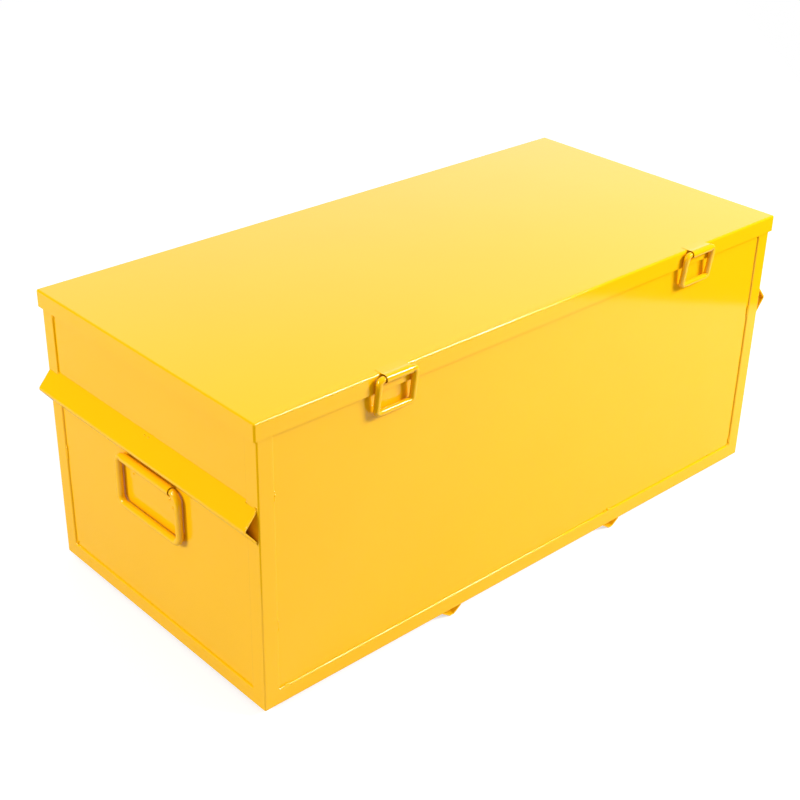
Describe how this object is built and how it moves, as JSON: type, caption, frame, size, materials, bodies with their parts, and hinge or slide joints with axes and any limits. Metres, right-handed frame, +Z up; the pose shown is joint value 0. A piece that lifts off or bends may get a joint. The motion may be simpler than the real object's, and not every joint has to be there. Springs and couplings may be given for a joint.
{
  "type": "tool box",
  "caption": "Long steel tool box: sheet panels in a welded angle frame, lift-up lid with drop pulls on its front edge, and a drop handle under a folded rail on each end.",
  "frame": {"origin": "on the floor under the box, midway between the foremost and the rearmost surface and between the two ends", "axes": "+X along the length to the right as seen from the front, -Y is the front with the two pulls, +Y the back with the hinges, +Z up"},
  "size_m": [1.2344, 0.604, 0.5223],
  "materials": {
    "yellow_enamel": "glossy",
    "bright_steel": "satin"
  },
  "bodies": {
    "body": {"back_panel": "yellow_enamel", "bottom_angle_back": "yellow_enamel", "bottom_angle_front": "yellow_enamel", "bottom_angle_left": "yellow_enamel", "bottom_angle_right": "yellow_enamel", "corner_post_back_left": "yellow_enamel", "corner_post_back_right": "yellow_enamel", "corner_post_front_left": "yellow_enamel", "corner_post_front_right": "yellow_enamel", "end_rail_left": "yellow_enamel", "end_rail_right": "yellow_enamel", "floor_panel": "yellow_enamel", "front_panel": "yellow_enamel", "handle_plate_left": "yellow_enamel", "handle_plate_right": "yellow_enamel", "hinge_body_leaf_left": "yellow_enamel", "hinge_body_leaf_middle": "yellow_enamel", "hinge_body_leaf_right": "yellow_enamel", "hinge_pin_left": "bright_steel", "hinge_pin_middle": "bright_steel", "hinge_pin_right": "bright_steel", "hinge_rail": "yellow_enamel", "left_end_panel": "yellow_enamel", "right_end_panel": "yellow_enamel", "rim_angle_back": "yellow_enamel", "rim_angle_front": "yellow_enamel", "rim_angle_left": "yellow_enamel", "rim_angle_right": "yellow_enamel", "runner_left": "yellow_enamel", "runner_right": "yellow_enamel"},
    "lid": {"hinge_lid_leaf_left": "yellow_enamel", "hinge_lid_leaf_middle": "yellow_enamel", "hinge_lid_leaf_right": "yellow_enamel", "lid": "yellow_enamel", "pull_plate_left": "yellow_enamel", "pull_plate_right": "yellow_enamel"},
    "left_handle": {"handle_left": "yellow_enamel"},
    "right_handle": {"handle_right": "yellow_enamel"},
    "left_pull": {"lid_pull_left": "yellow_enamel"},
    "right_pull": {"lid_pull_right": "yellow_enamel"}
  },
  "joints": [
    {"name": "lid_hinge", "type": "hinge", "parent": "body", "child": "lid", "pos_m": [0, 0.29642, 0.4883], "axis": [-1, 0, 0], "range_deg": [0, 195]},
    {"name": "left_handle_swing", "type": "hinge", "parent": "body", "child": "left_handle", "pos_m": [-0.59905, -0.00183, 0.30831], "axis": [0, 1, 0], "range_deg": [0, 140]},
    {"name": "right_handle_swing", "type": "hinge", "parent": "body", "child": "right_handle", "pos_m": [0.59905, -0.00183, 0.30831], "axis": [0, -1, 0], "range_deg": [0, 140]},
    {"name": "left_pull_swing", "type": "hinge", "parent": "lid", "child": "left_pull", "pos_m": [-0.344, -0.29492, 0.51525], "axis": [-1, 0, 0], "range_deg": [0, 220]},
    {"name": "right_pull_swing", "type": "hinge", "parent": "lid", "child": "right_pull", "pos_m": [0.368, -0.29492, 0.51525], "axis": [-1, 0, 0], "range_deg": [0, 220]}
  ]
}
